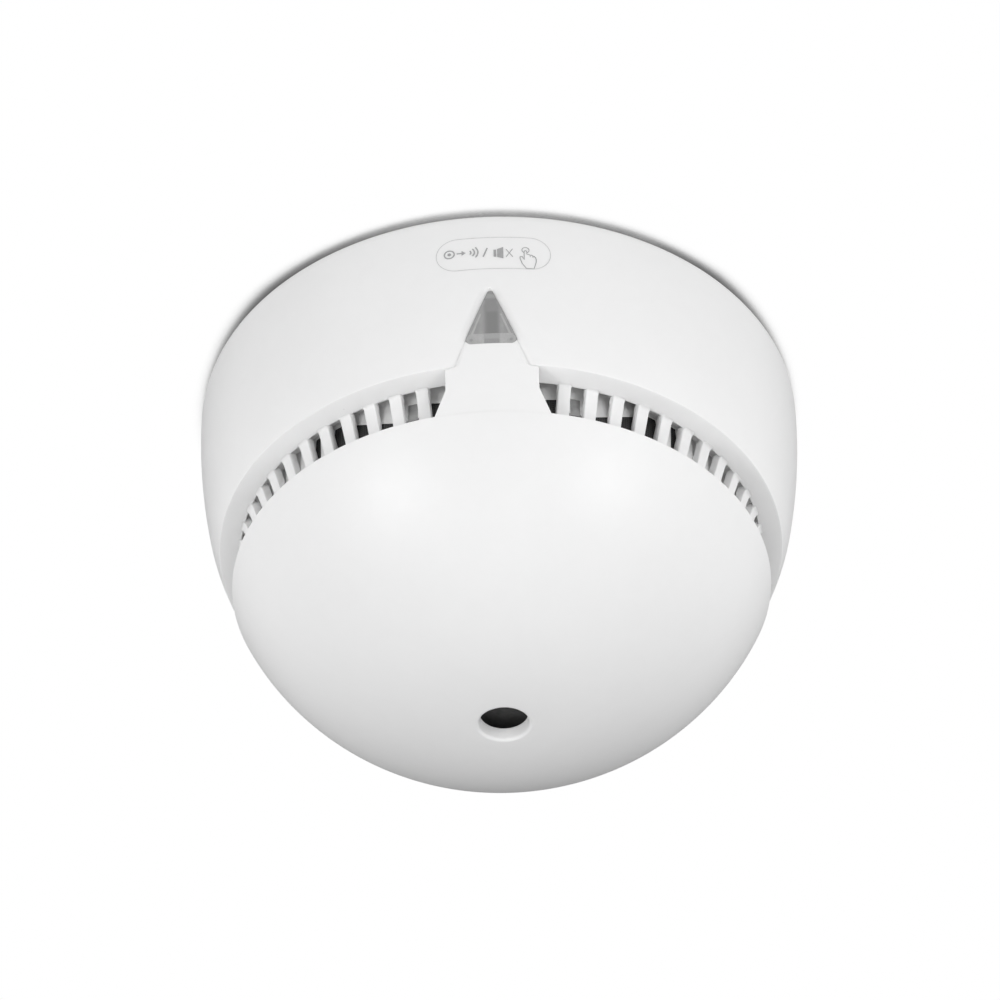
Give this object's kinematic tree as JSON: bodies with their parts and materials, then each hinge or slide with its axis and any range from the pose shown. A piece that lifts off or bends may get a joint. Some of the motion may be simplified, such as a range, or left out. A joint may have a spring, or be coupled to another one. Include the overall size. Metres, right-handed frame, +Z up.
{
  "type": "smoke detector",
  "caption": "Round ceiling smoke detector with a twist-off mounting plate, a ring of vent slots, a domed cover with a sound outlet and a triangular see-through test button.",
  "frame": {"origin": "centre of the mounting plate's flat ceiling face", "axes": "+Z up, out of the ceiling face and into the ceiling; the body hangs to -Z; the test button faces -Y; +X to the right when looking along +Y"},
  "size_m": [0.1002, 0.1002, 0.0641],
  "materials": {
    "white_plastic": "fine satin moulding",
    "clear_plastic": "clear, lightly smoked",
    "black_plastic": "matt, light-absorbing",
    "dark_moulding": "matt moulding compound",
    "board_laminate": "solder mask",
    "nickel": "nickel plated spring strip",
    "steel": "zinc plated",
    "brass": "plain",
    "epoxy": "clear epoxy",
    "red_sleeve": "wire insulation",
    "black_sleeve": "sleeve"
  },
  "bodies": {
    "mount": {"mounting_plate": "white_plastic"},
    "detector": {"rear_base": "white_plastic", "front_housing": "white_plastic", "dome_cover": "white_plastic", "inner_tray": "white_plastic", "circuit_board": "board_laminate", "battery": "dark_moulding", "battery_contact_pos": "nickel", "battery_contact_neg": "nickel", "smoke_chamber_base": "black_plastic", "labyrinth_cap": "black_plastic", "insect_screen": "steel", "infrared_led": "epoxy", "photodiode": "dark_moulding", "sounder_housing": "black_plastic", "piezo_disc": "brass", "piezo_lead_red": "red_sleeve", "piezo_lead_black": "black_sleeve", "controller_chip": "dark_moulding", "sounder_driver_chip": "dark_moulding", "capacitor": "black_sleeve", "boost_coil": "dark_moulding", "status_led": "epoxy", "tact_switch_body": "dark_moulding", "case_screw_1": "steel", "case_screw_2": "steel", "case_screw_3": "steel", "board_screw_1": "steel", "board_screw_2": "steel"},
    "button": {"test_button": "clear_plastic"},
    "switch_plunger": {"tact_switch_plunger": "black_plastic"}
  },
  "joints": [
    {"name": "twist_release", "type": "hinge", "parent": "mount", "child": "detector", "pos_m": [0, 0, 0], "axis": [0, 0, -1], "range_deg": [0, 15]},
    {"name": "button_press", "type": "slide", "parent": "detector", "child": "button", "axis": [0, 1, 0], "range_m": [0, 0.0005], "stiffness_N_per_m": 2500},
    {"name": "plunger_press", "type": "slide", "parent": "detector", "child": "switch_plunger", "axis": [0, 1, 0], "range_m": [0, 0.0005]}
  ],
  "couplings": [
    {"joint": "plunger_press", "follows": "button_press", "ratio": 1}
  ]
}
